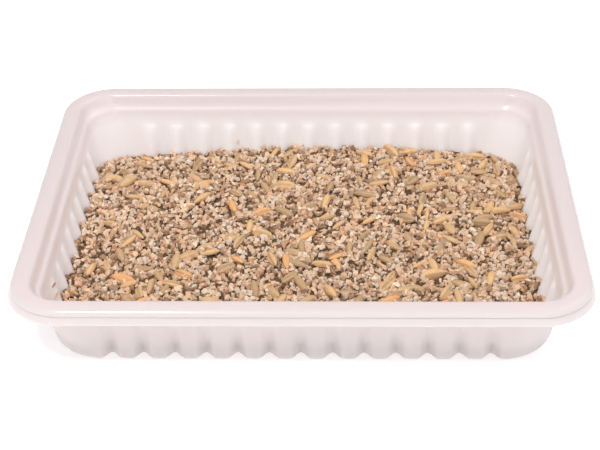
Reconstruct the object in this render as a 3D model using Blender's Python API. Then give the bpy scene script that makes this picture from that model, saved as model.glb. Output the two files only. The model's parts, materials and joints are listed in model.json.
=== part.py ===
"""Wheatgrass growing tray with its sown seed bed.

Metres, +Z up. X runs along the tray, Y across it, and the origin is the middle of the tray's underside.
The tray is one thin formed sheet. The seed bed is one solid that fills the tray's lower part: vermiculite
as a rubble relief, with the sown grains fused into its top.
"""

import math
import random

import bmesh
import bpy
from mathutils import Matrix, Vector
from mathutils.geometry import delaunay_2d_cdt

# Tray, overall
RIM_LENGTH = 0.227
RIM_WIDTH = 0.178
SHEET = 0.0008

# Flutes: outward lobes between narrow valleys, at one pitch all round, and a wide lobe on each corner
FLUTE_PITCH = 0.01243
LOBES = (12, 8)
VALLEY_DEPTH = 0.0040
# One lobe's upright lines, as (share of the pitch from its valley, share of the valley's depth)
LOBE_LINES = ((0.0, 1.0), (0.17, 0.42), (0.38, 0.03), (0.62, 0.03), (0.83, 0.42))
# Upright lines on half of a corner lobe, the same way but by share of the whole path round the corner
HALF_CORNER_LINES = ((0.055, 0.42), (0.125, 0.03), (0.2, 0.0), (0.275, 0.0), (0.35, 0.0), (0.425, 0.0))

# The sheet's outer side from the base up: height, inset from the rim's edge, corner radius, share of the
# valley's depth. The plain levels have no valleys, and their outlines keep fewer lines.
FLUTED_LEVELS = (
    (0.0, 0.0162, 0.0200, 1.0),
    (0.0009, 0.0143, 0.0212, 1.0),
    (0.0028, 0.0135, 0.0215, 0.97),
    (0.0110, 0.0129, 0.0190, 0.66),
    (0.0185, 0.0124, 0.0165, 0.33),
)
PLAIN_LEVELS = (
    (0.0205, 0.0122, 0.0158),
    (0.0266, 0.0115, 0.0148),
    (0.0282, 0.0098, 0.0145),
    (0.0325, 0.0084, 0.0142),
    (0.0332, 0.0077, 0.0144),
    (0.0332, 0.0032, 0.0200),
    (0.0325, 0.0019, 0.0213),
    (0.0280, 0.0006, 0.0226),
)

# Seed bed: clear of the tray's floor by GAP, and of its walls by SIDE_GAP where they run straight, which is
# less on the flutes' flanks
GAP = 0.0003
SIDE_GAP = 0.0009
BED_HALF = (0.099, 0.0745)
BED_FRONT = 0.0085
BED_BACK = 0.0094
BED_CROWN = 0.0015
BED_CORNER_DROP = 0.0058
BED_RIGHT_CORNER_DROP = 0.0040
BED_RIGHT_DROP = 0.0030
CHIP_SPACING = 0.0041
CHIP_JITTER = 0.3
CHIP_RELIEF = 0.0017
GRAINS = 100
GRAIN_LENGTH = (0.0095, 0.0125)
GRAIN_WIDTH = (0.0034, 0.0042)
GRAIN_SIDES = 5
GRAIN_LIFT = 0.0012
SEED = 7

MILKY_PLASTIC = (0.87, 0.82, 0.82, 1.0)
VERMICULITE = (0.56, 0.43, 0.31, 1.0)


def clear_scene():
    for obj in list(bpy.data.objects):
        bpy.data.objects.remove(obj, do_unlink=True)


def material(name, colour, roughness):
    made = bpy.data.materials.new(name)
    made.use_nodes = True
    shader = made.node_tree.nodes["Principled BSDF"]
    shader.inputs["Base Color"].default_value = colour
    shader.inputs["Roughness"].default_value = roughness
    shader.inputs["Metallic"].default_value = 0.0
    made.diffuse_color = colour
    return made


def mesh_object(name, bm, surface):
    mesh = bpy.data.meshes.new(name)
    bm.to_mesh(mesh)
    bm.free()
    mesh.materials.append(surface)
    obj = bpy.data.objects.new(name, mesh)
    bpy.context.scene.collection.objects.link(obj)
    return obj


def wall_lines():
    """The walls' upright lines, anticlockwise from above, from the front's left valley on.

    Each is (side, distance along the side, None, flute, plain) or (side, None, share of the corner's path
    after that side, flute, plain). plain says that the levels without valleys keep the line too.
    """
    after = [(1 - share, flute) for share, flute in HALF_CORNER_LINES[::-1]]
    corner = [*HALF_CORNER_LINES, (0.5, 0.0), *after]
    lines = []
    for side in range(4):
        lobes = LOBES[side % 2]
        first = -lobes / 2 * FLUTE_PITCH
        for lobe in range(lobes):
            for share, flute in LOBE_LINES:
                plain = share == 0.0 and lobe % 2 == 0
                lines.append((side, first + (lobe + share) * FLUTE_PITCH, None, flute, plain))
        lines.append((side, -first, None, 1.0, True))
        lines += [(side, None, share, flute, True) for share, flute in corner]
    return lines


def outline_point(line, inset, radius, valley=0.0):
    """Where an upright line meets the outline with this inset and corner radius, valley metres deep."""
    side, along, share, flute, _ = line
    half = (RIM_LENGTH / 2 - inset, RIM_WIDTH / 2 - inset)
    forward, out = half[side % 2], half[1 - side % 2]
    if along is not None:
        x, y, turn = along, -out, 0.0
    else:
        before = forward - radius - LOBES[side % 2] / 2 * FLUTE_PITCH
        after = out - radius - LOBES[1 - side % 2] / 2 * FLUTE_PITCH
        arc = radius * math.pi / 2
        s = share * (before + arc + after)
        turn = min(max((s - before) / radius, 0.0), math.pi / 2)
        x = forward - radius + radius * math.sin(turn) + min(s - before, 0.0)
        y = -(out - radius + radius * math.cos(turn)) + max(s - before - arc, 0.0)
    x -= math.sin(turn) * valley * flute
    y += math.cos(turn) * valley * flute
    return Matrix.Rotation(side * math.pi / 2, 2) @ Vector((x, y))


def band(bm, lower, upper):
    for i, low in enumerate(lower):
        j = (i + 1) % len(lower)
        bm.faces.new((low, lower[j], upper[j], upper[i]))


def make_tray(surface):
    """The formed sheet as its outer side, then given its thickness inwards."""
    bm = bmesh.new()
    lines = wall_lines()
    kept = [i for i, line in enumerate(lines) if line[4]]
    fluted = []
    for height, inset, radius, share in FLUTED_LEVELS:
        points = [outline_point(line, inset, radius, VALLEY_DEPTH * share) for line in lines]
        fluted.append([bm.verts.new((*p, height)) for p in points])
    plain = []
    for height, inset, radius in PLAIN_LEVELS:
        points = [outline_point(lines[i], inset, radius) for i in kept]
        plain.append([bm.verts.new((*p, height)) for p in points])
    bm.faces.new(fluted[0][::-1])
    for lower, upper in zip(fluted, fluted[1:]):
        band(bm, lower, upper)
    for j, start in enumerate(kept):
        k = (j + 1) % len(kept)
        end = kept[k] if k else len(lines)
        below = [fluted[-1][i % len(lines)] for i in range(start, end + 1)]
        bm.faces.new((*below, plain[0][k], plain[0][j]))
    for lower, upper in zip(plain, plain[1:]):
        band(bm, lower, upper)
    tray = mesh_object("tray", bm, surface)
    wall = tray.modifiers.new("sheet", "SOLIDIFY")
    wall.thickness = SHEET
    wall.offset = -1.0
    wall.use_even_offset = True
    tray.data.shade_smooth()
    tray.data.set_sharp_from_angle(angle=math.radians(35))
    return tray


def bed_height(x, y):
    """The bed's smooth surface: a low crown that falls to the right side and to the back corners."""
    u = x / BED_HALF[0]
    v = y / BED_HALF[1]
    height = BED_FRONT + (BED_BACK - BED_FRONT) * (0.5 + 0.5 * v)
    height += BED_CROWN * (1 - u * u) * (1 - v * v)
    back = max(v, 0.0) ** 2
    height -= BED_CORNER_DROP * back * max(-u, 0.0) ** 1.2
    height -= BED_RIGHT_CORNER_DROP * back * max(u, 0.0) ** 2
    height -= BED_RIGHT_DROP * max(u, 0.0) ** 5
    return height


def wall_level(height):
    """Inset, corner radius and valley share of the sheet's outer side at a height in its fluted part."""
    for low, high in zip(FLUTED_LEVELS, FLUTED_LEVELS[1:]):
        if height <= high[0]:
            t = (height - low[0]) / (high[0] - low[0])
            return [a + (b - a) * t for a, b in zip(low[1:], high[1:])]
    return FLUTED_LEVELS[-1][1:]


def bed_side_point(line, level, height):
    """A point of the bed's side: the wall's outline at a level, taken in by the sheet and the gap."""
    clear = SHEET + SIDE_GAP
    inset, radius, share = wall_level(level)
    return (*outline_point(line, inset + clear, radius - clear, VALLEY_DEPTH * share), height)


def rubble_points(border, draw):
    """Loose points inside the bed's border, on a jittered triangular grid, each with its own height."""
    row_step = CHIP_SPACING * math.sqrt(3) / 2
    shift = CHIP_JITTER * CHIP_SPACING
    points = []
    for row in range(math.ceil(RIM_WIDTH / row_step)):
        for column in range(math.ceil(RIM_LENGTH / CHIP_SPACING)):
            x = -RIM_LENGTH / 2 + (column + 0.5 * (row % 2)) * CHIP_SPACING + draw.uniform(-shift, shift)
            y = -RIM_WIDTH / 2 + row * row_step + draw.uniform(-shift, shift)
            lift = draw.choice((-1.0, 0.0, 1.0)) * draw.uniform(0.5, 1.0) * CHIP_RELIEF
            if inside(border, x, y, 0.45 * CHIP_SPACING):
                points.append((x, y, bed_height(x, y) + lift))
    return points


def inside(border, x, y, margin):
    """Whether a point lies inside a closed outline, and no nearer than margin to it."""
    odd = False
    for (ax, ay, _), (bx, by, _) in zip(border, border[1:] + border[:1]):
        if (ay > y) != (by > y) and x < ax + (y - ay) * (bx - ax) / (by - ay):
            odd = not odd
        along = ((x - ax) * (bx - ax) + (y - ay) * (by - ay)) / ((bx - ax) ** 2 + (by - ay) ** 2)
        along = min(max(along, 0.0), 1.0)
        if math.hypot(ax + along * (bx - ax) - x, ay + along * (by - ay) - y) < margin:
            return False
    return odd


def make_grain(number, x, y, draw, collection):
    """One husked grain: a slim spindle of few sides, sunk to its middle in the rubble."""
    length = draw.uniform(*GRAIN_LENGTH)
    width = draw.uniform(*GRAIN_WIDTH)
    bm = bmesh.new()
    tips = [bm.verts.new((end * length / 2, 0.0, 0.0)) for end in (-1, 1)]
    rings = []
    for place, girth in ((-0.2, 0.92), (0.18, 1.0)):
        reach = girth * width / 2
        turns = [2 * math.pi * side / GRAIN_SIDES for side in range(GRAIN_SIDES)]
        around = [(place * length, reach * math.cos(turn), reach * math.sin(turn)) for turn in turns]
        rings.append([bm.verts.new(p) for p in around])
    for side in range(GRAIN_SIDES):
        after = (side + 1) % GRAIN_SIDES
        bm.faces.new((tips[0], rings[0][side], rings[0][after]))
        bm.faces.new((rings[0][after], rings[0][side], rings[1][side], rings[1][after]))
        bm.faces.new((rings[1][after], rings[1][side], tips[1]))
    bmesh.ops.recalc_face_normals(bm, faces=bm.faces)
    turn = Matrix.Rotation(draw.uniform(0, math.pi), 4, "Z")
    tilt = Matrix.Rotation(draw.uniform(-0.12, 0.12), 4, "Y")
    roll = Matrix.Rotation(draw.uniform(0, math.pi), 4, "X")
    place = Matrix.Translation((x, y, bed_height(x, y) + GRAIN_LIFT))
    bmesh.ops.transform(bm, matrix=place @ turn @ tilt @ roll, verts=bm.verts)
    mesh = bpy.data.meshes.new(f"grain_{number}")
    bm.to_mesh(mesh)
    bm.free()
    grain = bpy.data.objects.new(f"grain_{number}", mesh)
    collection.objects.link(grain)


def grain_places(border, draw):
    """Seeded places for the grains, more of them towards the right, none nearer than a grain's length."""
    places = []
    while len(places) < GRAINS:
        x = draw.uniform(-1, 1) * RIM_LENGTH / 2
        y = draw.uniform(-1, 1) * RIM_WIDTH / 2
        thinning = 0.55 + 0.45 * x / (RIM_LENGTH / 2)
        if draw.random() > thinning or not inside(border, x, y, 0.55 * GRAIN_LENGTH[1]):
            continue
        if all(math.hypot(x - a, y - b) > 0.95 * GRAIN_LENGTH[1] for a, b in places):
            places.append((x, y))
    return places


def keep_largest_body(obj):
    """Drops the loose scraps that the union can leave beside the bed or shut in its hollows."""
    bm = bmesh.new()
    bm.from_mesh(obj.data)
    left = set(bm.verts)
    bodies = []
    while left:
        body = {left.pop()}
        fresh = list(body)
        while fresh:
            for edge in fresh.pop().link_edges:
                for vert in edge.verts:
                    if vert in left:
                        left.discard(vert)
                        body.add(vert)
                        fresh.append(vert)
        bodies.append(body)
    bodies.sort(key=len)
    bmesh.ops.delete(bm, geom=[vert for body in bodies[:-1] for vert in body], context="VERTS")
    bm.to_mesh(obj.data)
    bm.free()


def make_seed_bed(surface):
    """The bed's block with its rubble top, then the grains joined to it by one union."""
    draw = random.Random(SEED)
    lines = wall_lines()
    floor = SHEET + GAP
    heel = FLUTED_LEVELS[1][0] + SHEET + GAP
    underside = [bed_side_point(line, 0.0, floor) for line in lines]
    lower_edge = [bed_side_point(line, heel, heel) for line in lines]
    heights = [bed_height(x, y) for x, y, _ in lower_edge]
    border = [bed_side_point(line, height, height) for line, height in zip(lines, heights)]
    rings = [underside, lower_edge, border]
    bm = bmesh.new()
    loops = [[bm.verts.new(p) for p in ring] for ring in rings]
    bm.faces.new(loops[0][::-1])
    for lower, upper in zip(loops, loops[1:]):
        band(bm, lower, upper)
    points = border + rubble_points(border, draw)
    flat = [Vector(p[:2]) for p in points]
    edges = [(i, (i + 1) % len(border)) for i in range(len(border))]
    _, _, faces, _, _, _ = delaunay_2d_cdt(flat, edges, [], 1, 1e-9)
    tops = loops[-1] + [bm.verts.new(p) for p in points[len(border):]]
    for face in faces:
        bm.faces.new([tops[i] for i in face])
    bmesh.ops.triangulate(bm, faces=bm.faces)
    bmesh.ops.recalc_face_normals(bm, faces=bm.faces)
    bed = mesh_object("seed_bed", bm, surface)
    grains = bpy.data.collections.new("grains")
    bpy.context.scene.collection.children.link(grains)
    for number, (x, y) in enumerate(grain_places(border, draw)):
        make_grain(number, x, y, draw, grains)
    union = bed.modifiers.new("grains", "BOOLEAN")
    union.operation = "UNION"
    union.operand_type = "COLLECTION"
    union.collection = grains
    union.solver = "EXACT"
    bpy.context.view_layer.objects.active = bed
    bpy.ops.object.modifier_apply(modifier=union.name)
    for grain in list(grains.objects):
        bpy.data.objects.remove(grain, do_unlink=True)
    bpy.data.collections.remove(grains)
    keep_largest_body(bed)
    return bed


def main():
    clear_scene()
    make_tray(material("milky_plastic", MILKY_PLASTIC, 0.35))
    make_seed_bed(material("vermiculite", VERMICULITE, 0.9))


main()
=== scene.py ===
"""The look of a wheatgrass growing tray with its sown seed bed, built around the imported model's frame."""

import json
import math
import random

import bmesh
import bpy
from bpy.props import FloatProperty, FloatVectorProperty, IntProperty, PointerProperty
from mathutils import Matrix, Vector, noise
from mathutils.geometry import delaunay_2d_cdt

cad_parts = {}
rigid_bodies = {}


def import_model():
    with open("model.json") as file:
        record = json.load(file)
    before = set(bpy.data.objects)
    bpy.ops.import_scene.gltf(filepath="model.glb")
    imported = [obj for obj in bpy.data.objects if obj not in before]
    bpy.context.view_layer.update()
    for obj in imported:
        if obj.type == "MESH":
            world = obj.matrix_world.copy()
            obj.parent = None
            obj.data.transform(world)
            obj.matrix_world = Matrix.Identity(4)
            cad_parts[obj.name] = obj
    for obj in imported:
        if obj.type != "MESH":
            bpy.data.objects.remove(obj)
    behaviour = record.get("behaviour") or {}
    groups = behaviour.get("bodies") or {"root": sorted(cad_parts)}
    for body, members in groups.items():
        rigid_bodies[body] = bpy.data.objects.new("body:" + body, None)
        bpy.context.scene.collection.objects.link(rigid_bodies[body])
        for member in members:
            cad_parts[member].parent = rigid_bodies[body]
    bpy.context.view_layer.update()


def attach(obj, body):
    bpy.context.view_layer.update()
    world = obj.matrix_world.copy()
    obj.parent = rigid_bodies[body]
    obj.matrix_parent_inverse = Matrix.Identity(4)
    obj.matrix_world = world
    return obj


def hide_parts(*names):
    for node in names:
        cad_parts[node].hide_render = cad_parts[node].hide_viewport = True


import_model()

bl_info = {
    "name": "Wheatgrass growing tray",
    "version": (1, 0, 0),
    "blender": (4, 5, 0),
    "location": "3D View > Sidebar > Growing tray",
    "description": "Builds a milky fluted growing tray with a bed of vermiculite and sown grains",
    "category": "Add Mesh",
}

BODY = "root"

# The sheet's outer side from the base up: height, inset from the rim's edge, corner radius, share of the
# valley's depth
SHEET_LEVELS = (
    (0.0, 0.0162, 0.0200, 1.0),
    (0.0009, 0.0143, 0.0212, 1.0),
    (0.0028, 0.0135, 0.0215, 0.97),
    (0.0110, 0.0129, 0.0190, 0.66),
    (0.0185, 0.0124, 0.0165, 0.33),
    (0.0205, 0.0122, 0.0158, 0.0),
    (0.0266, 0.0115, 0.0148, 0.0),
    (0.0282, 0.0098, 0.0145, 0.0),
    (0.0325, 0.0084, 0.0142, 0.0),
    (0.0332, 0.0077, 0.0144, 0.0),
    (0.0332, 0.0032, 0.0200, 0.0),
    (0.0326, 0.0021, 0.0211, 0.0),
    (0.0316, 0.0017, 0.0215, 0.0),
    (0.0311, 0.0018, 0.0214, 0.0),
    (0.0307, 0.0015, 0.0217, 0.0),
    (0.0280, 0.0006, 0.0226, 0.0),
)
# Times that the bends between the levels are rounded
LEVEL_ROUNDS = 2

# Lobes along a long side and a short side
LOBES = (12, 8)
# A valley's half width as a share of the pitch, and the power that narrows its line
FLANK = 0.37
VALLEY_POWER = 1.2
# Upright strips round one corner
CORNER_STRIPS = 32
# The tray's smooth shading breaks where it bends by more than this, in degrees
SHARP_BEND = 50

# Half the bed's length and width, which its slopes are measured against, and the furthest that it reaches
BED_HALF = (0.099, 0.0745)
BED_REACH = (0.0995, 0.0755)
# Half the length and width of the bed's middle, which no wall comes near
MIDDLE_HALF = (0.084, 0.060)

# Chips and grains keep this many sheets and this gap from a wall's outer side, which slants on its flutes
WALL_SLANT = 1.41
WALL_GAP = 0.0003

# The ground under the chips: how far its edge and its middle lie under the bed's surface, its rubble and
# swell as (bumps to a metre, depth), and the play of its points in height
GROUND_EDGE_SUNK = 0.0008
GROUND_SUNK = 0.0009
GROUND_RUBBLE = (330.0, 0.0009)
GROUND_SWELL = (70.0, 0.0007)
GROUND_PLAY = 0.0003
# As shares of the points' spacing: their play sideways, least distance from the edge, and the rows' spacing
POINT_PLAY = 0.25
EDGE_MARGIN = 0.6
ROW_SPACING = 0.866

# Chips: how many shapes, the most on a square metre, their least and greatest size as shares of the usual
# one, their lowest and highest place over the ground, the bands that share them, and all bands' length
CHIP_SHAPES = 14
CHIP_DENSITY = 3.5e6
CHIP_RANGE = (0.5, 1.28)
CHIP_LIFT = (-0.0007, 0.0013)
CHIP_BANDS = 3
BANDS_SPAN = 0.2

# One chip a unit wide: its choice of sides, the ranges of its stretch, of its thickness and of its corners'
# distance from the middle, and the play of its corners, round it as a share of a side, and in height
CHIP_SIDES = (4, 4, 5, 6)
CHIP_STRETCH = (0.85, 1.55)
CHIP_THICKNESS = (0.3, 0.75)
CHIP_REACH = (0.4, 0.56)
CHIP_SKEW = 0.22
CHIP_UNEVEN = 0.09

# Grains: each shape's width as a share of its length and how blunt it is, their sizes and places as for the
# chips, the most that they tilt, how much denser they get in a metre along X, and how far out they lie
GRAIN_SHAPES = ((0.35, 1.8), (0.39, 2.0), (0.37, 1.7), (0.46, 2.3), (0.42, 2.1))
GRAIN_RANGE = (0.74, 1.05)
GRAIN_LIFT = (0.0006, 0.0020)
GRAIN_TILT = 0.2
GRAIN_RISE = 3.2
GRAIN_REACH = (0.0935, 0.0685)
# One grain a unit long: where its rings lie along it, their sides, its greatest bend, how full it is (less
# is fuller), how much it thins along its length, its height to its width, and how far out its crease lies
GRAIN_RINGS = (-0.44, -0.3, -0.1, 0.12, 0.31, 0.44)
GRAIN_SIDES = 8
GRAIN_BEND = 0.03
GRAIN_FULLNESS = 0.62
GRAIN_TAPER = 0.12
GRAIN_FLATNESS = 0.82
GRAIN_CREASE = 0.8
# Share of the most chips or grains that lies at the tray's middle
MIDDLE_SHARE = 0.62

# Seeds of the ground's points, of the shapes of chips and grains, and of the scraps
GROUND_SEED = 3
SHAPE_SEED = 21
SCRAP_SEED = 5

# Colours by tone, from the darkest piece to the palest: place on the ramp, colour
CHIP_TONES = (
    (0.0, (0.20, 0.105, 0.055)),
    (0.12, (0.55, 0.315, 0.175)),
    (0.3, (0.98, 0.63, 0.40)),
    (0.65, (1.0, 0.745, 0.52)),
    (1.0, (1.0, 0.875, 0.735)),
)
HUSK_TONES = (
    (0.0, (0.50, 0.32, 0.17)),
    (0.3, (0.63, 0.40, 0.21)),
    (0.6, (0.76, 0.49, 0.25)),
    (0.85, (0.86, 0.53, 0.25)),
    (0.95, (0.92, 0.46, 0.18)),
    (1.0, (0.94, 0.48, 0.19)),
)
# Colours mixed in: grey chips, their flecks, the edges of their layers and painted shade on the low ones;
# the grains' ribs, tips, stains and painted shade in their crease; the pressed side of the bed
CHIP_GREY = (0.60, 0.49, 0.42)
CHIP_FLECK = (0.33, 0.21, 0.135)
CHIP_LAYER = (0.34, 0.21, 0.13)
CHIP_LOW_SHADE = (0.26, 0.135, 0.07)
HUSK_RIB = (0.80, 0.60, 0.34)
HUSK_TIP = (0.76, 0.60, 0.40)
HUSK_STAIN_AND_CREASE_SHADE = (0.24, 0.15, 0.085)
SIDE_DARK = (0.50, 0.36, 0.27)
SIDE_PALE = (0.88, 0.74, 0.64)

# The photograph's camera: its place, then its pitch below the horizon, yaw and roll in degrees
CAMERA_AT = (0.01816, -0.5288, 0.36874)
CAMERA_TURN = (33.82, -2.19, -1.21)
CAMERA_LENS = 89.016
SENSOR_WIDTH = 36.0
FRAME = (600, 450)

# Scraps on the tray's inner walls: where the photograph shows them, in pixels, and their tone
STRAY_BITS = (((53.6, 285.0), 0.12), ((56.3, 294.4), 0.3), ((238.0, 141.6), 0.95))
# A scrap's length, width and thickness, how far its middle is off the wall, and its turn from the last one
SCRAP_SIZE = (0.0025, 0.0014, 0.0009)
SCRAP_LIFT = 0.00015
SCRAP_TURN = 0.7

# The lights: name, the setting of its power, its place, what it points at, its size and its colour
LIGHTS = (
    ("key_light", "key", (-0.28, -0.62, 1.18), (0.0, 0.0, 0.0), 0.22, (1.0, 0.985, 0.97)),
    ("front_light", "front", (0.2, -1.1, 0.42), (0.0, 0.0, 0.02), 0.5, (1.0, 0.99, 1.0)),
    ("fill_light", "fill", (0.7, 0.3, 0.8), (0.0, 0.0, 0.0), 0.8, (1.0, 0.97, 0.97)),
)
FLOOR_HALF = 40.0


def colour_prop(name, description, default):
    return FloatVectorProperty(
        name=name, description=description, default=default, size=3, subtype="COLOR", min=0.0, max=1.0
    )


def length_prop(name, description, default):
    return FloatProperty(
        name=name, description=description, default=default, min=0.0, precision=5,
        unit="LENGTH", subtype="DISTANCE",
    )


def amount_prop(name, description, default, unit="NONE"):
    return FloatProperty(name=name, description=description, default=default, min=0.0, unit=unit)


class TraySettings(bpy.types.PropertyGroup):
    rim_length: length_prop("Rim length", "Length of the tray along X, over its skirt's sheet", 0.227)
    rim_width: length_prop("Rim width", "Width of the tray along Y, over its skirt's sheet", 0.178)
    sheet: length_prop("Sheet", "Thickness of the formed sheet", 0.0008)
    flute_pitch: length_prop("Flute pitch", "Distance from one valley to the next", 0.01243)
    valley_depth: length_prop("Valley depth", "Depth of a valley at the foot of the wall", 0.0040)
    lobe_steps: IntProperty(name="Lobe steps", description="Upright strips in one lobe", default=10, min=4)
    milky: colour_prop("Plastic", "The milky plastic's own colour", (0.68, 0.603, 0.60))
    # Painted light: the inner walls are painted much brighter than the flange, standing in for light coming
    # through the sheet
    lit: colour_prop("Inner walls", "The inner walls, lit from behind", (0.99, 0.925, 0.93))
    # Painted shade: the left inner wall, facing away from the key light, is painted cooler and darker; the
    # same colour is also a random cloud tinge
    lilac_tinge_and_left_shade: colour_prop("Left wall", "The cooler tinge of the left inner wall", (0.97, 0.895, 0.955))
    # Painted shade: the bead and skirt are painted a little duller than the flange
    skirt: colour_prop("Rim", "The flange's bead and its skirt", (0.655, 0.592, 0.597))
    lilac: colour_prop("Lilac tinge", "The cooler tinge in the plastic's shade", (0.625, 0.563, 0.587))
    flange: colour_prop("Flange", "The flat of the flange, lit from above", (0.69, 0.595, 0.592))
    # Painted shade: the outer walls' foot is painted darker and mottled, standing for the bed seen through
    # the sheet
    showing: colour_prop("Foot", "The plastic where the bed shows through it", (0.60, 0.49, 0.46))


class BedSettings(bpy.types.PropertyGroup):
    clearance: length_prop("Clearance", "Gap between the bed and the tray's walls", 0.0009)
    floor_gap: length_prop("Floor gap", "Gap between the bed and the tray's floor", 0.0003)
    front: length_prop("Front height", "Height of the bed along the front", 0.0085)
    back: length_prop("Back height", "Height of the bed along the back", 0.0094)
    crown: length_prop("Crown", "Rise of the bed's middle", 0.0015)
    corner_drop: length_prop("Left corner drop", "Fall into its back left corner", 0.0058)
    right_corner_drop: length_prop("Right corner drop", "Fall into its back right corner", 0.0040)
    right_drop: length_prop("Right drop", "Fall of the bed towards its right side", 0.0030)
    ground_step: length_prop("Ground step", "Spacing of the points under the chips", 0.0017)
    chip_size: length_prop("Chip size", "Usual width of a vermiculite chip", 0.0023)
    chip_gap: length_prop("Chip spacing", "Least distance between the middles of two chips", 0.00090)
    chip_seed: IntProperty(name="Chip seed", description="Seed of the chips' places", default=4)
    grain_length: length_prop("Grain length", "Usual length of a husked grain", 0.0108)
    grain_gap: length_prop("Grain spacing", "Least distance between the middles of two grains", 0.0044)
    grain_density: amount_prop("Grains", "Most grains on a square metre", 17000.0)
    grain_seed: IntProperty(name="Grain seed", description="Seed of the grains' places", default=11)
    # Painted shade: the ground under the chips is painted near black, standing for the shade in the gaps
    # between them
    soil_and_gap_shade: colour_prop("Ground", "Dark vermiculite in the gaps between the chips", (0.075, 0.041, 0.021))


class StageSettings(bpy.types.PropertyGroup):
    floor: colour_prop("Floor", "Colour of the floor", (0.9, 0.9, 0.9))
    glow: amount_prop("Floor glow", "Light given off by the floor, as by a lit table", 0.40)
    sky: amount_prop("Sky", "Strength of the white light all round", 0.58)
    key: amount_prop("Key light", "Power of the light above the front left", 8.3, "POWER")
    fill: amount_prop("Fill light", "Power of the broad light on the right", 2.2, "POWER")
    front: amount_prop("Front light", "Power of the low light in front", 1.4, "POWER")


class Socket:
    """A node's output, with Python's operators adding Math nodes to its tree."""

    def __init__(self, graph, source):
        self.graph = graph
        self.source = source

    def __add__(self, other):
        return self.graph.maths("ADD", self, other)

    def __radd__(self, other):
        return self.graph.maths("ADD", other, self)

    def __sub__(self, other):
        return self.graph.maths("SUBTRACT", self, other)

    def __rsub__(self, other):
        return self.graph.maths("SUBTRACT", other, self)

    def __mul__(self, other):
        return self.graph.maths("MULTIPLY", self, other)

    def __rmul__(self, other):
        return self.graph.maths("MULTIPLY", other, self)


class Graph:
    """Adds nodes to one node tree, of a material or of Geometry Nodes."""

    def __init__(self, tree):
        self.tree = tree

    def add(self, kind, settings=None, **values):
        """A node of this type with its settings, then its sockets' values or links, by their names."""
        made = self.tree.nodes.new(kind)
        for name, value in (settings or {}).items():
            if name == "stops":
                ramp = made.color_ramp
                while len(ramp.elements) < len(value):
                    ramp.elements.new(1.0)
                for element, (place, colour) in zip(ramp.elements, value):
                    element.position = place
                    element.color = (*colour, 1.0)
            else:
                setattr(made, name, value)
        for name, value in values.items():
            self.put(made, name, value)
        return made

    def put(self, made, name, value):
        wanted = name.replace("_", " ").lower()
        matches = [s for s in made.inputs if s.identifier.replace("_", " ").lower() == wanted]
        matches = matches or [s for s in made.inputs if s.name.lower() == wanted and s.enabled]
        if not matches:
            raise RuntimeError(f"{made.bl_idname} has no socket {name}")
        if isinstance(value, Socket):
            self.tree.links.new(value.source, matches[0])
        else:
            matches[0].default_value = value

    def out(self, made, name=0):
        if isinstance(name, str):
            found = [s for s in made.outputs if name in (s.identifier, s.name)]
            return Socket(self, next((s for s in found if s.enabled), found[0]))
        return Socket(self, made.outputs[name])

    def maths(self, operation, *values, clamp=False):
        made = self.tree.nodes.new("ShaderNodeMath")
        made.operation = operation
        made.use_clamp = clamp
        for socket, value in zip(made.inputs, values):
            if isinstance(value, Socket):
                self.tree.links.new(value.source, socket)
            else:
                socket.default_value = value
        return self.out(made)

    def mix(self, share, first, second):
        made = self.add(
            "ShaderNodeMix", {"data_type": "RGBA"}, Factor_Float=share, A_Color=first, B_Color=second
        )
        return self.out(made, "Result_Color")

    def step(self, value, low, high):
        """0 below low, 1 above high and smooth between."""
        settings = {"interpolation_type": "SMOOTHSTEP"}
        values = {"Value": value, "From_Min": low, "From_Max": high}
        return self.out(self.add("ShaderNodeMapRange", settings, **values), "Result")

    def noise(self, scale, detail=2.0, rough=0.5):
        values = {"Scale": scale, "Detail": detail, "Roughness": rough, "Vector": self.place()}
        return self.out(self.add("ShaderNodeTexNoise", None, **values), "Fac")

    def place(self):
        return self.out(self.add("ShaderNodeTexCoord"), "Object")

    def attribute(self, name):
        return self.out(self.add("ShaderNodeAttribute", {"attribute_name": name}), "Fac")


def rgba(colour):
    return (*colour[:3], 1.0)


def new_material(name, **constants):
    """A material whose Principled shader has these constants, with the graph to go on with."""
    made = bpy.data.materials.new(name)
    made.use_nodes = True
    graph = Graph(made.node_tree)
    shader = made.node_tree.nodes["Principled BSDF"]
    for key, value in constants.items():
        graph.put(shader, key, value)
    return made, graph, shader


def mesh_piece(name, bm, surface):
    mesh = bpy.data.meshes.new(name)
    bm.to_mesh(mesh)
    bm.free()
    mesh.materials.append(surface)
    obj = bpy.data.objects.new(name, mesh)
    bpy.context.scene.collection.objects.link(obj)
    return obj


def finish_piece(obj, node):
    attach(obj, BODY)
    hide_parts(node)


def flute(distance, pitch):
    """How deep a wall stands back at a distance from a valley's line, as a share of the valley's depth."""
    return (0.5 + 0.5 * math.cos(math.pi * min(abs(distance) / (FLANK * pitch), 1.0))) ** VALLEY_POWER


def wall_lines(tray):
    """The walls' upright lines: (side, distance along it, None) or (side, None, share of the corner)."""
    lines = []
    pitch = tray.flute_pitch
    for side in range(4):
        lobes = LOBES[side % 2]
        steps = lobes * tray.lobe_steps
        for step in range(steps + 1):
            lines.append((side, (step / steps - 0.5) * lobes * pitch, None))
        for step in range(1, CORNER_STRIPS):
            lines.append((side, None, step / CORNER_STRIPS))
    return lines


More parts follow.
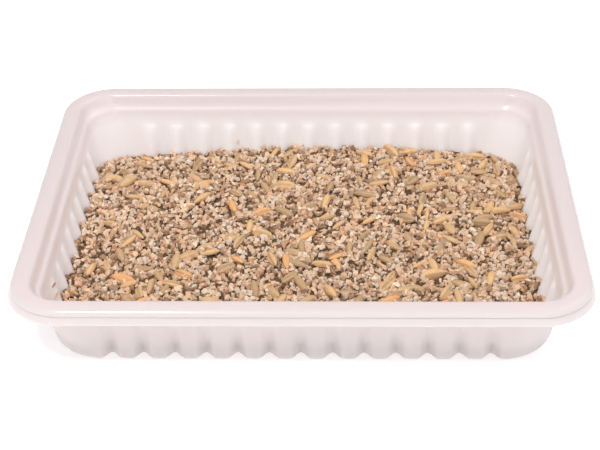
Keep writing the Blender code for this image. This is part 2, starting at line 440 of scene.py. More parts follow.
def outline_point(tray, line, inset, radius, share):
    """Where an upright line meets the outline with this inset, radius and share of the valley's depth."""
    side, along, part = line
    pitch = tray.flute_pitch
    half = (tray.rim_length / 2 - inset, tray.rim_width / 2 - inset)
    forward = half[side % 2]
    out = half[1 - side % 2]
    if along is not None:
        x, y, turn = along, -out, 0.0
        deep = flute((along / pitch + LOBES[side % 2] / 2 + 0.5) % 1.0 - 0.5, 1.0)
    else:
        before = forward - radius - LOBES[side % 2] / 2 * pitch
        after = out - radius - LOBES[1 - side % 2] / 2 * pitch
        arc = radius * math.pi / 2
        path = before + arc + after
        s = part * path
        turn = min(max((s - before) / radius, 0.0), math.pi / 2)
        x = forward - radius + radius * math.sin(turn) + min(s - before, 0.0)
        y = -(out - radius + radius * math.cos(turn)) + max(s - before - arc, 0.0)
        deep = flute(s, pitch) + flute(path - s, pitch)
    x -= math.sin(turn) * tray.valley_depth * share * deep
    y += math.cos(turn) * tray.valley_depth * share * deep
    return Matrix.Rotation(side * math.pi / 2, 2) @ Vector((x, y))


def rounded_levels(levels, rounds):
    """The levels with their bends rounded: the stretch between two levels keeps its middle half."""
    for _ in range(rounds):
        cut = [levels[0]]
        for low, high in zip(levels, levels[1:]):
            for share in (0.25, 0.75):
                cut.append(tuple(a + (b - a) * share for a, b in zip(low, high)))
        levels = [*cut, levels[-1]]
    return levels


def band(bm, lower, upper):
    for i, low in enumerate(lower):
        j = (i + 1) % len(lower)
        bm.faces.new((low, lower[j], upper[j], upper[i]))


def milky_plastic(name):
    """Thin milky plastic, satin and a little uneven, with the graph to colour it."""
    made, graph, shader = new_material(
        name, Subsurface_Weight=0.6, Subsurface_Radius=(0.004, 0.0035, 0.0035),
        Subsurface_Scale=1.0, Specular_IOR_Level=0.22, Coat_Weight=0.3, Coat_Roughness=0.1,
    )
    graph.put(shader, "Roughness", graph.noise(60.0, 3.0) * 0.14 + 0.27)
    waves = graph.noise(45.0, 2.0) * 0.7 + graph.noise(700.0, 2.0) * 0.06
    bump = graph.add("ShaderNodeBump", None, Strength=0.12, Distance=0.0008, Height=waves)
    graph.put(shader, "Normal", graph.out(bump))
    split = graph.add("ShaderNodeSeparateXYZ", None, Vector=graph.place())
    cloud = graph.step(graph.noise(11.0, 3.0), 0.35, 0.7)
    return made, graph, shader, split, cloud


def outer_plastic(tray):
    """The underside and outer walls: pinkish white, with painted shade at their foot for the bed showing
    through.
    """
    made, graph, shader, split, cloud = milky_plastic("milky_plastic")
    height = graph.out(split, "Z")
    colour = graph.mix(cloud * 0.45, rgba(tray.milky), rgba(tray.lilac))
    chips = graph.step(graph.noise(330.0, 3.0, 0.65), 0.42, 0.62)
    lumps = graph.step(graph.noise(120.0, 2.0), 0.3, 0.7)
    # Painted shade: darker and mottled towards the bottom of the outer walls, standing for the bed seen
    # through the sheet
    foot = 1.0 - graph.step(height, 0.0035, 0.0105)
    colour = graph.mix(foot * (chips * 0.12 + lumps * 0.08), colour, rgba(tray.showing))
    graph.put(shader, "Base Color", colour)
    return made


def inner_plastic(tray):
    """The upper side: inner walls painted bright as painted light from behind, and a duller flange and
    skirt.
    """
    made, graph, shader, split, cloud = milky_plastic("milky_plastic_inside")
    # Painted shade: a mask on the left end of the tray darkens and cools the left inner wall
    left = graph.step(graph.out(split, "X") * -1.0, 0.085, 0.1) * 0.8
    wall = graph.mix(graph.maths("MAXIMUM", cloud * 0.3, left), rgba(tray.lit), rgba(tray.lilac_tinge_and_left_shade))
    # Millimetres from the rim's edge: the flange is flat from 3 to 8, and the walls are past 12
    inset = graph.attribute("inset")
    # Painted shade: below an inset of about 3 mm the bead and skirt take a duller colour than the flange
    rim = graph.mix(graph.step(inset, 2.4, 3.4), rgba(tray.skirt), rgba(tray.flange))
    # Painted shade: from 8.6 to 11.3 mm only a fifth of the bright wall colour is mixed in, dimming the
    # ledge's highlight band
    share = graph.step(inset, 7.5, 8.6) * 0.2 + graph.step(inset, 11.3, 12.2) * 0.8
    graph.put(shader, "Base Color", graph.mix(share, rim, wall))
    return made


def build_tray(tray):
    """The formed sheet: its outer side level by level, then its thickness inwards."""
    lines = wall_lines(tray)
    bm = bmesh.new()
    inset_mm = bm.verts.layers.float.new("inset")
    loops = []
    for height, inset, radius, share in rounded_levels(SHEET_LEVELS, LEVEL_ROUNDS):
        points = [outline_point(tray, line, inset, radius, share) for line in lines]
        loops.append([bm.verts.new((*p, height)) for p in points])
        for vert in loops[-1]:
            vert[inset_mm] = inset * 1000
    bm.faces.new(loops[0][::-1])
    for lower, upper in zip(loops, loops[1:]):
        band(bm, lower, upper)
    obj = mesh_piece("formed_tray", bm, outer_plastic(tray))
    obj.data.materials.append(inner_plastic(tray))
    wall = obj.modifiers.new("sheet", "SOLIDIFY")
    wall.material_offset = 1
    wall.material_offset_rim = 1
    wall.thickness = tray.sheet
    wall.offset = -1.0
    wall.use_even_offset = True
    obj.data.shade_smooth()
    obj.data.set_sharp_from_angle(angle=math.radians(SHARP_BEND))
    return obj


def bed_height(bed, x, y):
    """The bed's smooth surface: a low crown that falls to the right side and to the back corners."""
    u = x / BED_HALF[0]
    v = y / BED_HALF[1]
    height = bed.front + (bed.back - bed.front) * (0.5 + 0.5 * v)
    height += bed.crown * (1 - u * u) * (1 - v * v)
    back = max(v, 0.0) ** 2
    height -= bed.corner_drop * back * max(-u, 0.0) ** 1.2
    height -= bed.right_corner_drop * back * max(u, 0.0) ** 2
    return height - bed.right_drop * max(u, 0.0) ** 5


def wall_level(height):
    """Inset, corner radius and valley share of the sheet's outer side at a height of the wall."""
    for low, high in zip(SHEET_LEVELS, SHEET_LEVELS[1:]):
        if height <= high[0]:
            break
    t = (height - low[0]) / (high[0] - low[0])
    return [a + (b - a) * t for a, b in zip(low[1:], high[1:])]


def side_point(tray, bed, line, level, height):
    """A point of the bed's side: the wall's outline at a level, taken in by the sheet and the clearance."""
    clear = tray.sheet + bed.clearance
    inset, radius, share = wall_level(level)
    return (*outline_point(tray, line, inset + clear, radius - clear, share), height)


def off_the_wall(tray, point, clear):
    """The point, moved in to lie at least clear inside the wall's outer side."""
    inset, radius, share = wall_level(max(point.z, 0.0))
    pitch = tray.flute_pitch
    for side in range(4):
        turn = Matrix.Rotation(side * math.pi / 2, 2)
        along, y = turn.transposed() @ point.xy
        lobes = LOBES[side % 2]
        half = (tray.rim_length / 2 - inset, tray.rim_width / 2 - inset)
        forward, out = half[side % 2], half[1 - side % 2]
        if along > forward - radius and -y > out - radius:
            middle = Vector((forward - radius, radius - out))
            away = Vector((along, y)) - middle
            if away.length > radius - clear:
                along, y = middle + away * ((radius - clear) / away.length)
        elif abs(along) < forward - radius:
            if abs(along) < (lobes + 0.5) / 2 * pitch:
                deep = flute((along / pitch + lobes / 2 + 0.5) % 1.0 - 0.5, 1.0)
            else:
                deep = 0.0
            y = max(y, -(out - tray.valley_depth * share * deep - clear))
        point.xy = turn @ Vector((along, y))
    return point


def press_in(piece, tray):
    """Presses a scattered piece's points in from the wall, so that nothing pokes through it."""
    for vert in piece.data.vertices:
        if abs(vert.co.x) > MIDDLE_HALF[0] or abs(vert.co.y) > MIDDLE_HALF[1]:
            vert.co = off_the_wall(tray, vert.co.copy(), tray.sheet * WALL_SLANT + WALL_GAP)


def inside(border, x, y, margin):
    """Whether a point lies inside a closed outline, and no nearer than margin to it."""
    if abs(x) < MIDDLE_HALF[0] and abs(y) < MIDDLE_HALF[1]:
        return True
    odd = False
    for a, b in zip(border, border[1:] + border[:1]):
        if (a[1] > y) != (b[1] > y) and x < a[0] + (y - a[1]) * (b[0] - a[0]) / (b[1] - a[1]):
            odd = not odd
        if math.hypot(a[0] - x, a[1] - y) < margin:
            return False
    return odd


def bed_surface(tray, bed):
    """The bed's rings and top under its chips: (rings of its side, points of the top, faces of the top)."""
    lines = wall_lines(tray)
    floor = tray.sheet + bed.floor_gap
    heel = SHEET_LEVELS[1][0] + floor
    underside = [side_point(tray, bed, line, 0.0, floor) for line in lines]
    lower = [side_point(tray, bed, line, heel, heel) for line in lines]
    border = []
    for line, (x, y, _) in zip(lines, lower):
        height = bed_height(bed, x, y)
        border.append(side_point(tray, bed, line, height, height - GROUND_EDGE_SUNK))
    draw = random.Random(GROUND_SEED)
    rubble_scale, rubble_depth = GROUND_RUBBLE
    swell_scale, swell_depth = GROUND_SWELL
    step = bed.ground_step
    points = list(border)
    for row in range(math.ceil(tray.rim_width / step / ROW_SPACING)):
        for column in range(math.ceil(tray.rim_length / step)):
            along = column + row % 2 * 0.5 + draw.uniform(-POINT_PLAY, POINT_PLAY)
            across = row * ROW_SPACING + draw.uniform(-POINT_PLAY, POINT_PLAY)
            x = -tray.rim_length / 2 + along * step
            y = -tray.rim_width / 2 + across * step
            if abs(x) >= BED_REACH[0] or abs(y) >= BED_REACH[1]:
                continue
            if inside(border, x, y, step * EDGE_MARGIN):
                rubble = noise.noise(Vector((x, y, 0.0)) * rubble_scale) * rubble_depth
                rubble += draw.uniform(-GROUND_PLAY, GROUND_PLAY)
                swell = noise.noise(Vector((x, y, 0.3)) * swell_scale) * swell_depth
                points.append((x, y, bed_height(bed, x, y) - GROUND_SUNK + rubble + swell))
    edges = [(i, (i + 1) % len(border)) for i in range(len(border))]
    flat = [Vector(p[:2]) for p in points]
    _, _, faces, _, _, _ = delaunay_2d_cdt(flat, edges, [], 1, 1e-9)
    return [underside, lower], points, faces


def bed_ground(bed):
    """Fine vermiculite seen only in the gaps between the chips, its near black colour painted shade."""
    made, graph, shader = new_material("vermiculite_dust", Roughness=0.95, Specular_IOR_Level=0.2)
    dark = rgba(bed.soil_and_gap_shade)
    pale = rgba([c * 2.6 + 0.02 for c in bed.soil_and_gap_shade])
    graph.put(shader, "Base Color", graph.mix(graph.noise(900.0, 4.0, 0.7), dark, pale))
    bump = graph.add("ShaderNodeBump", None, Strength=0.6, Distance=0.0006, Height=graph.noise(1500.0, 3.0))
    graph.put(shader, "Normal", graph.out(bump))
    return made


def bed_side():
    """The pale sides of the vermiculite that lie against the plastic."""
    made, graph, shader = new_material("vermiculite_side", Roughness=0.9, Specular_IOR_Level=0.2)
    chips = graph.step(graph.noise(420.0, 3.0, 0.6), 0.36, 0.62)
    graph.put(shader, "Base Color", graph.mix(chips, rgba(SIDE_DARK), rgba(SIDE_PALE)))
    bump = graph.add("ShaderNodeBump", None, Strength=0.5, Distance=0.0005, Height=chips)
    graph.put(shader, "Normal", graph.out(bump))
    return made


def chip_material():
    """Vermiculite chips: tan to pinkish cream, darker in their layers, with painted shade where they lie
    low.
    """
    made, graph, shader = new_material("vermiculite_chips", Specular_IOR_Level=0.5)
    tone = graph.attribute("tone")
    colour = graph.out(graph.add("ShaderNodeValToRGB", {"stops": CHIP_TONES}, Fac=tone), "Color")
    grey = graph.mix(graph.step(graph.attribute("warmth"), 0.6, 1.0) * 0.2, colour, rgba(CHIP_GREY))
    fleck = graph.step(graph.noise(1300.0, 3.0, 0.6), 0.38, 0.66)
    flecked = graph.mix(fleck * 0.24, grey, rgba(CHIP_FLECK))
    graph.put(shader, "Roughness", 0.68 - graph.attribute("warmth") * 0.3 + fleck * 0.1)
    flakes = graph.step(graph.maths("SINE", graph.attribute("layer") * 75.0), -0.3, 0.7)
    layered = graph.mix((1.0 - flakes) * 0.14, flecked, rgba(CHIP_LAYER))
    # Painted shade: chips that lie lower among the others are darkened, as in the shade of the gaps
    low = graph.step(graph.attribute("depth"), 0.7, 2.0)
    graph.put(shader, "Base Color", graph.mix(low * 0.26, layered, rgba(CHIP_LOW_SHADE)))
    relief = graph.noise(2400.0, 2.0, 0.5) + flakes * 0.5
    bump = graph.add("ShaderNodeBump", None, Strength=0.5, Distance=0.0003, Height=relief)
    graph.put(shader, "Normal", graph.out(bump))
    return made


def grain_material():
    """Whole grains: grey tan to gold and orange husks, streaked along their length, paler at the tips."""
    made, graph, shader = new_material("grain_husks", Specular_IOR_Level=0.45)
    tone = graph.attribute("tone")
    colour = graph.out(graph.add("ShaderNodeValToRGB", {"stops": HUSK_TONES}, Fac=tone), "Color")
    around = graph.attribute("around")
    along = graph.attribute("along")
    ribs = graph.step(graph.maths("SINE", around * 44.0), -0.6, 0.9)
    colour = graph.mix(ribs * 0.22, colour, rgba(HUSK_RIB))
    ends = graph.step(graph.maths("ABSOLUTE", along), 0.6, 1.0)
    colour = graph.mix(ends * 0.3, colour, rgba(HUSK_TIP))
    # Painted shade: the crease along each grain is darkened with the stain colour, besides the real stains
    # from the noise
    crease = 1.0 - graph.step(graph.maths("ABSOLUTE", around - 0.5), 0.02, 0.09)
    stain = graph.step(graph.noise(420.0, 3.0), 0.45, 0.7)
    graph.put(shader, "Base Color", graph.mix(crease * 0.45 + stain * 0.18, colour, rgba(HUSK_STAIN_AND_CREASE_SHADE)))
    graph.put(shader, "Roughness", 0.42 + stain * 0.25)
    bump = graph.add("ShaderNodeBump", None, Strength=0.35, Distance=0.0003, Height=ribs - crease)
    graph.put(shader, "Normal", graph.out(bump))
    return made


def chip_shape(name, draw, collection):
    """One chip a unit wide: a broken block of flakes, with uneven corners."""
    bm = bmesh.new()
    layer = bm.verts.layers.float.new("layer")
    sides = draw.choice(CHIP_SIDES)
    stretch = draw.uniform(*CHIP_STRETCH)
    thick = draw.uniform(*CHIP_THICKNESS)
    rings = []
    turns = [(side + draw.uniform(-CHIP_SKEW, CHIP_SKEW)) / sides * 2 * math.pi for side in range(sides)]
    for height in (-0.5, 0.5):
        ring = []
        for turn in turns:
            reach = draw.uniform(*CHIP_REACH)
            x = reach * math.cos(turn) * stretch
            y = reach * math.sin(turn) / stretch
            vert = bm.verts.new((x, y, height * thick + draw.uniform(-CHIP_UNEVEN, CHIP_UNEVEN)))
            vert[layer] = height * thick
            ring.append(vert)
        rings.append(ring)
    lower, upper = rings
    bm.faces.new(lower[::-1])
    bm.faces.new(upper)
    band(bm, lower, upper)
    bmesh.ops.triangulate(bm, faces=bm.faces)
    bmesh.ops.recalc_face_normals(bm, faces=bm.faces)
    return helper_object(name, bm, collection)


def grain_shape(name, width, sharp, draw, collection):
    """One grain a unit long and width wide: a bent spindle, flatter on its creased side."""
    bm = bmesh.new()
    around = bm.verts.layers.float.new("around")
    along = bm.verts.layers.float.new("along")
    rings = []
    bend = draw.uniform(-GRAIN_BEND, GRAIN_BEND)
    for place in GRAIN_RINGS:
        girth = (1 - abs(place * 2) ** sharp) ** GRAIN_FULLNESS * (1 - GRAIN_TAPER * place)
        ring = []
        for side in range(GRAIN_SIDES):
            turn = 2 * math.pi * side / GRAIN_SIDES
            reach = girth * width / 2 * (GRAIN_CREASE if side == GRAIN_SIDES // 2 else 1.0)
            y = reach * math.sin(turn) + bend * (1 - 4 * place * place)
            vert = bm.verts.new((place, y, reach * math.cos(turn) * GRAIN_FLATNESS))
            vert[around] = side / GRAIN_SIDES
            vert[along] = place * 2
            ring.append(vert)
        rings.append(ring)
    for lower, upper in zip(rings, rings[1:]):
        band(bm, lower, upper)
    for end, ring in ((-0.5, rings[0]), (0.5, rings[-1])):
        tip = bm.verts.new((end, 0.0, 0.0))
        tip[along] = end * 2
        tip[around] = 0.25
        for i, vert in enumerate(ring):
            bm.faces.new((tip, vert, ring[(i + 1) % GRAIN_SIDES]))
    bmesh.ops.recalc_face_normals(bm, faces=bm.faces)
    for face in bm.faces:
        face.smooth = True
    return helper_object(name, bm, collection)


def helper_object(name, bm, collection):
    mesh = bpy.data.meshes.new(name)
    bm.to_mesh(mesh)
    bm.free()
    obj = bpy.data.objects.new(name, mesh)
    collection.objects.link(obj)
    return obj


def group_input(tree, name, kind, default=None):
    made = tree.interface.new_socket(name=name, in_out="INPUT", socket_type=kind)
    if default is not None:
        made.default_value = default
    return made.identifier


def scatter_tree(name, surface):
    """Scatters a collection's shapes over a surface: the tree, and its inputs' identifiers by name."""
    tree = bpy.data.node_groups.new(name, "GeometryNodeTree")
    ids = {"Geometry": group_input(tree, "Geometry", "NodeSocketGeometry")}
    ids["Shapes"] = group_input(tree, "Shapes", "NodeSocketCollection")
    for label, kind, default in (
        ("Spacing", "NodeSocketFloat", 0.002), ("Density", "NodeSocketFloat", 1e6),
        ("Density rise", "NodeSocketFloat", 0.0), ("Smallest", "NodeSocketFloat", 0.002),
        ("Largest", "NodeSocketFloat", 0.003), ("Lowest", "NodeSocketFloat", 0.0),
        ("Highest", "NodeSocketFloat", 0.0), ("Tilt", "NodeSocketFloat", math.pi),
        ("Reach X", "NodeSocketFloat", 1.0), ("Reach Y", "NodeSocketFloat", 1.0),
        ("Seed", "NodeSocketInt", 1),
    ):
        ids[label] = group_input(tree, label, kind, default)
    tree.interface.new_socket(name="Geometry", in_out="OUTPUT", socket_type="NodeSocketGeometry")
    graph = Graph(tree)
    given = graph.add("NodeGroupInput")
    take = {label: graph.out(given, label) for label in ids}
    position = graph.out(graph.add("GeometryNodeInputPosition"))
    split = graph.add("ShaderNodeSeparateXYZ", None, Vector=position)
    side = graph.out(split, "X")
    within = graph.maths("LESS_THAN", graph.maths("ABSOLUTE", side), take["Reach X"])
    across = graph.maths("ABSOLUTE", graph.out(split, "Y"))
    within = within * graph.maths("LESS_THAN", across, take["Reach Y"])
    factor = graph.maths("ADD", side * take["Density rise"], MIDDLE_SHARE, clamp=True) * within
    spread = graph.add(
        "GeometryNodeDistributePointsOnFaces", {"distribute_method": "POISSON"},
        Mesh=take["Geometry"], Distance_Min=take["Spacing"], Density_Max=take["Density"],
        Density_Factor=factor, Seed=take["Seed"],
    )
    points = graph.out(spread, "Points")
    shapes = graph.add("GeometryNodeCollectionInfo", None, Collection=take["Shapes"])
    graph.put(shapes, "Separate Children", True)
    graph.put(shapes, "Reset Children", True)

    def chance(low, high, seed):
        made = graph.add("FunctionNodeRandomValue", {"data_type": "FLOAT"}, Min_001=low, Max_001=high)
        graph.put(made, "Seed", take["Seed"] + seed)
        return graph.out(made, "Value_001")

    rise = chance(take["Lowest"], take["Highest"], 1)
    depth_mm = (take["Highest"] - rise) * 1000.0
    lift = graph.add("ShaderNodeCombineXYZ", None, Z=rise)
    moved = graph.add("GeometryNodeSetPosition", None, Geometry=points, Offset=graph.out(lift))
    tilt = take["Tilt"]
    turn = graph.add(
        "ShaderNodeCombineXYZ", None, X=chance(-math.pi, math.pi, 2), Y=chance(tilt * -1.0, tilt, 3),
        Z=chance(-math.pi, math.pi, 4),
    )
    rotation = graph.add("FunctionNodeEulerToRotation", None, Euler=graph.out(turn))
    size = chance(take["Smallest"], take["Largest"], 5)
    pick = graph.add("FunctionNodeRandomValue", {"data_type": "INT"}, Min_002=0, Max_002=999)
    graph.put(pick, "Seed", take["Seed"] + 6)
    placed = graph.add(
        "GeometryNodeInstanceOnPoints", None, Points=graph.out(moved), Instance=graph.out(shapes),
        Rotation=graph.out(rotation), Instance_Index=graph.out(pick, "Value_002"),
    )
    graph.put(placed, "Pick Instance", True)
    graph.put(placed, "Scale", graph.out(graph.add("ShaderNodeCombineXYZ", None, X=size, Y=size, Z=size)))
    result = graph.out(placed)
    # How far a piece lies under the highest one is kept in millimetres
    values = {"tone": chance(0.0, 1.0, 7), "warmth": chance(0.0, 1.0, 8), "depth": depth_mm}
    for label, value in values.items():
        stored = graph.add(
            "GeometryNodeStoreNamedAttribute", {"data_type": "FLOAT", "domain": "INSTANCE"},
            Geometry=result, Name=label, Value=value,
        )
        result = graph.out(stored)
    real = graph.add("GeometryNodeRealizeInstances", None, Geometry=result)
    painted = graph.add("GeometryNodeSetMaterial", None, Geometry=graph.out(real), Material=surface)
    graph.add("NodeGroupOutput", None, Geometry=graph.out(painted))
    return tree, ids


def scatter(name, ground, surface, shapes, sizes):
    """A piece made by scattering the shapes over the ground, as one plain mesh."""
    tree, ids = scatter_tree(name, surface)
    source = bpy.data.objects.new(name + "_source", ground.copy())
    bpy.context.scene.collection.objects.link(source)
    modifier = source.modifiers.new("scatter", "NODES")
    modifier.node_group = tree
    modifier[ids["Shapes"]] = shapes
    for label, value in sizes.items():
        modifier[ids[label]] = value
    bpy.context.view_layer.update()
    graph = bpy.context.evaluated_depsgraph_get()
    mesh = bpy.data.meshes.new_from_object(
        source.evaluated_get(graph), preserve_all_data_layers=True, depsgraph=graph
    )
    if not mesh.polygons:
        raise RuntimeError(f"{name} came out empty")
    bpy.data.objects.remove(source, do_unlink=True)
    mesh.name = name
    mesh.materials.clear()
    mesh.materials.append(surface)
    mesh.polygons.foreach_set("material_index", [0] * len(mesh.polygons))
    obj = bpy.data.objects.new(name, mesh)
    bpy.context.scene.collection.objects.link(obj)
    return obj


def split_in_bands(obj, parts):
    """Parts the piece into bands across X, each whole chips, so that none holds too many triangles."""
    made = []
    edges = [(-0.5 + i / parts) * BANDS_SPAN for i in range(1, parts)]
    bm = bmesh.new()
    bm.from_mesh(obj.data)
    groups = [[] for _ in range(parts)]
    left = set(bm.verts)
    for vert in list(bm.verts):
        if vert not in left:
            continue
        left.discard(vert)
        body = [vert]
        for member in body:
            for edge in member.link_edges:
                other = edge.other_vert(member)
                if other in left:
                    left.discard(other)
                    body.append(other)
        groups[sum(body[0].co.x > edge for edge in edges)] += [v.index for v in body]
    bm.free()
    for i, indices in enumerate(groups):
        keep = set(indices)
        bm = bmesh.new()
        bm.from_mesh(obj.data)
        bmesh.ops.delete(bm, geom=[v for v in bm.verts if v.index not in keep], context="VERTS")
        made.append(mesh_piece(f"{obj.name}_{i + 1}", bm, obj.data.materials[0]))
    bpy.data.objects.remove(obj, do_unlink=True)
    return made


def top_mesh(points, faces):
    mesh = bpy.data.meshes.new("bed_top")
    mesh.from_pydata(points, [], faces)
    mesh.update()
    return mesh


def build_ground(tray, bed):
    rings, points, faces = bed_surface(tray, bed)
    bm = bmesh.new()
    loops = [[bm.verts.new(p) for p in ring] for ring in rings]
    tops = [bm.verts.new(p) for p in points]
    loops.append(tops[:len(rings[0])])
    bm.faces.new(loops[0][::-1])
    for lower, upper in zip(loops, loops[1:]):
        band(bm, lower, upper)
    for face in bm.faces:
        face.material_index = 1
    for face in faces:
        bm.faces.new([tops[i] for i in face])
    bmesh.ops.recalc_face_normals(bm, faces=bm.faces)
    obj = mesh_piece("bed_ground", bm, bed_ground(bed))
    obj.data.materials.append(bed_side())
    return obj, top_mesh(points, faces)


def camera_matrix():
    pitch, yaw, roll = [math.radians(a) for a in CAMERA_TURN]
    ahead = Vector((math.sin(yaw) * math.cos(pitch), math.cos(yaw) * math.cos(pitch), -math.sin(pitch)))
    turned = ahead.to_track_quat("-Z", "Y").to_matrix().to_4x4() @ Matrix.Rotation(roll, 4, "Z")
    return Matrix.Translation(CAMERA_AT) @ turned


def wall_under(pixel, wall):
    """Where the line of sight through a pixel of the photograph meets the wall, and its normal there."""
    matrix = camera_matrix()
    scale = SENSOR_WIDTH / CAMERA_LENS / FRAME[0]
    ray = Vector(((pixel[0] - FRAME[0] / 2) * scale, (FRAME[1] / 2 - pixel[1]) * scale, -1.0))
    graph = bpy.context.evaluated_depsgraph_get()
    shape = wall.evaluated_get(graph)
    hit, place, normal, _ = shape.ray_cast(matrix.translation, (matrix.to_3x3() @ ray).normalized())
    if not hit:
        raise RuntimeError(f"nothing lies behind pixel {pixel}")
    return place, normal


def build_strays(wall, surface):
    """The scraps that cling to the tray's inner walls."""
    draw = random.Random(SCRAP_SEED)
    holder = bpy.data.collections.new("scraps")
    bm = bmesh.new()
    for number, (pixel, tone) in enumerate(STRAY_BITS):
        shape = chip_shape(f"scrap_{number}", draw, holder)
        place, normal = wall_under(pixel, wall)
        upright = normal.to_track_quat("Z", "Y").to_matrix().to_4x4()
        turn = upright @ Matrix.Rotation(SCRAP_TURN * number, 4, "Z")
        size = Matrix.Diagonal((*SCRAP_SIZE, 1.0))
        shape.data.transform(Matrix.Translation(place + normal * SCRAP_LIFT) @ turn @ size)
        values = shape.data.attributes.new("tone", "FLOAT", "POINT")
        values.data.foreach_set("value", [tone] * len(shape.data.vertices))
        bm.from_mesh(shape.data)
        bpy.data.objects.remove(shape, do_unlink=True)
    bpy.data.collections.remove(holder)
    return mesh_piece("stray_scraps", bm, surface)


class GROWTRAY_OT_tray(bpy.types.Operator):
    """Builds the formed tray"""
    bl_idname = "growtray.tray"
    bl_label = "Formed tray"

    def execute(self, context):
        piece = build_tray(context.scene.growtray_tray)
        finish_piece(piece, "tray")
        return {"FINISHED"}


class GROWTRAY_OT_bed(bpy.types.Operator):
    """Builds the seed bed: its ground, its vermiculite chips and its grains"""
    bl_idname = "growtray.bed"
    bl_label = "Seed bed"

    def execute(self, context):
        tray = context.scene.growtray_tray
        bed = context.scene.growtray_bed
        ground, top = build_ground(tray, bed)
        draw = random.Random(SHAPE_SEED)
        chips = bpy.data.collections.new("chip_shapes")
        for number in range(CHIP_SHAPES):
            chip_shape(f"chip_{number}", draw, chips)
        size = bed.chip_size
        sizes = {
            "Spacing": bed.chip_gap, "Density": CHIP_DENSITY,
            "Smallest": size * CHIP_RANGE[0], "Largest": size * CHIP_RANGE[1],
            "Lowest": CHIP_LIFT[0], "Highest": CHIP_LIFT[1], "Tilt": math.pi, "Seed": bed.chip_seed,
        }
        scattered = scatter("vermiculite_chips", top, chip_material(), chips, sizes)
        press_in(scattered, tray)
        pieces = [ground, *split_in_bands(scattered, CHIP_BANDS)]
        grains = bpy.data.collections.new("grain_shapes")
        for number, (width, sharp) in enumerate(GRAIN_SHAPES):
            grain_shape(f"grain_{number}", width, sharp, draw, grains)
        size = bed.grain_length
        sizes = {
            "Spacing": bed.grain_gap, "Density": bed.grain_density, "Density rise": GRAIN_RISE,
            "Smallest": size * GRAIN_RANGE[0], "Largest": size * GRAIN_RANGE[1],
            "Lowest": GRAIN_LIFT[0], "Highest": GRAIN_LIFT[1], "Tilt": GRAIN_TILT,
            "Reach X": GRAIN_REACH[0], "Reach Y": GRAIN_REACH[1], "Seed": bed.grain_seed,
        }
        sown = scatter("sown_grains", top, grain_material(), grains, sizes)
        press_in(sown, tray)
        pieces.append(sown)
        for helpers in (chips, grains):
            for obj in list(helpers.objects):
                bpy.data.objects.remove(obj, do_unlink=True)
            bpy.data.collections.remove(helpers)
        for piece in pieces:
            finish_piece(piece, "seed_bed")
        return {"FINISHED"}


class GROWTRAY_OT_strays(bpy.types.Operator):
    """Builds the scraps on the tray's inner walls"""
    bl_idname = "growtray.strays"
    bl_label = "Stray scraps"

    def execute(self, context):
        surface = bpy.data.materials["vermiculite_chips"]
        piece = build_strays(bpy.data.objects["formed_tray"], surface)
        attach(piece, BODY)
        return {"FINISHED"}


def area_light(name, at, target, size, power, colour):
    data = bpy.data.lights.new(name, "AREA")
    data.shape = "DISK"
    data.size = size
    data.energy = power
    data.color = colour
    obj = bpy.data.objects.new(name, data)
    obj.location = at
    obj.rotation_euler = (Vector(target) - Vector(at)).to_track_quat("-Z", "Y").to_euler()
    bpy.context.scene.collection.objects.link(obj)


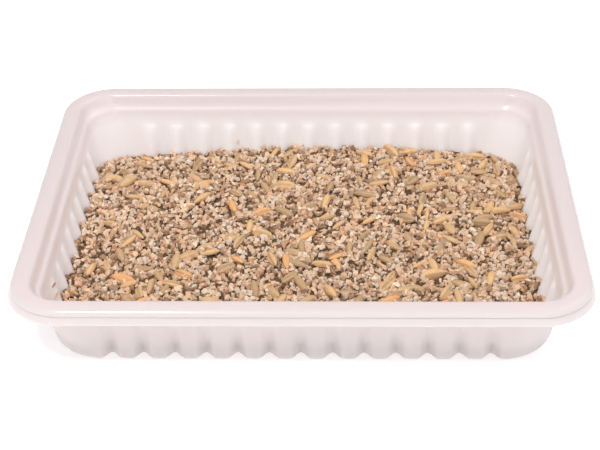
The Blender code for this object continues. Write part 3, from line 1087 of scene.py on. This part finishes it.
class GROWTRAY_OT_stage(bpy.types.Operator):
    """Builds the floor, the lights and the camera"""
    bl_idname = "growtray.stage"
    bl_label = "Stage"

    def execute(self, context):
        stage = context.scene.growtray_stage
        made, graph, shader = new_material("pale_floor", Roughness=0.9, Specular_IOR_Level=0.1)
        graph.put(shader, "Emission Color", (1.0, 0.995, 0.995, 1.0))
        graph.put(shader, "Emission Strength", stage.glow)
        darker = rgba([c * 0.9 for c in stage.floor])
        graph.put(shader, "Base Color", graph.mix(graph.noise(3.0, 2.0) * 0.02, rgba(stage.floor), darker))
        bm = bmesh.new()
        bmesh.ops.create_grid(bm, x_segments=1, y_segments=1, size=FLOOR_HALF)
        floor = mesh_piece("floor", bm, made)
        world = bpy.data.worlds.new("soft_sky")
        world.use_nodes = True
        sky = world.node_tree.nodes["Background"]
        sky.inputs["Color"].default_value = (1.0, 1.0, 1.0, 1.0)
        sky.inputs["Strength"].default_value = stage.sky
        context.scene.world = world
        context.scene.view_settings.view_transform = "Standard"
        for name, setting, at, target, size, colour in LIGHTS:
            area_light(name, at, target, size, getattr(stage, setting), colour)
        data = bpy.data.cameras.new("photo_camera")
        data.sensor_width = SENSOR_WIDTH
        data.lens = CAMERA_LENS
        data.clip_start = 0.02
        camera = bpy.data.objects.new("photo_camera", data)
        camera.matrix_world = camera_matrix()
        context.scene.collection.objects.link(camera)
        context.scene.camera = camera
        return {"FINISHED"}


class GROWTRAY_PT_panel(bpy.types.Panel):
    """Lists the tray's sizes and colours, and the steps that build it"""
    bl_idname = "GROWTRAY_PT_panel"
    bl_label = "Growing tray"
    bl_space_type = "VIEW_3D"
    bl_region_type = "UI"
    bl_category = "Growing tray"

    def draw(self, context):
        for name in ("growtray_tray", "growtray_bed", "growtray_stage"):
            settings = getattr(context.scene, name)
            box = self.layout.box()
            for key in settings.__annotations__:
                box.prop(settings, key)
        for step in STEPS:
            self.layout.operator(step.bl_idname)


STEPS = (GROWTRAY_OT_tray, GROWTRAY_OT_bed, GROWTRAY_OT_strays, GROWTRAY_OT_stage)
CLASSES = (TraySettings, BedSettings, StageSettings, *STEPS, GROWTRAY_PT_panel)


def register():
    for made in CLASSES:
        bpy.utils.register_class(made)
    bpy.types.Scene.growtray_tray = PointerProperty(type=TraySettings)
    bpy.types.Scene.growtray_bed = PointerProperty(type=BedSettings)
    bpy.types.Scene.growtray_stage = PointerProperty(type=StageSettings)


def unregister():
    del bpy.types.Scene.growtray_stage
    del bpy.types.Scene.growtray_bed
    del bpy.types.Scene.growtray_tray
    for made in reversed(CLASSES):
        bpy.utils.unregister_class(made)


def main():
    register()
    bpy.ops.growtray.tray()
    bpy.ops.growtray.bed()
    bpy.ops.growtray.strays()
    bpy.ops.growtray.stage()


if __name__ == "__main__":
    main()
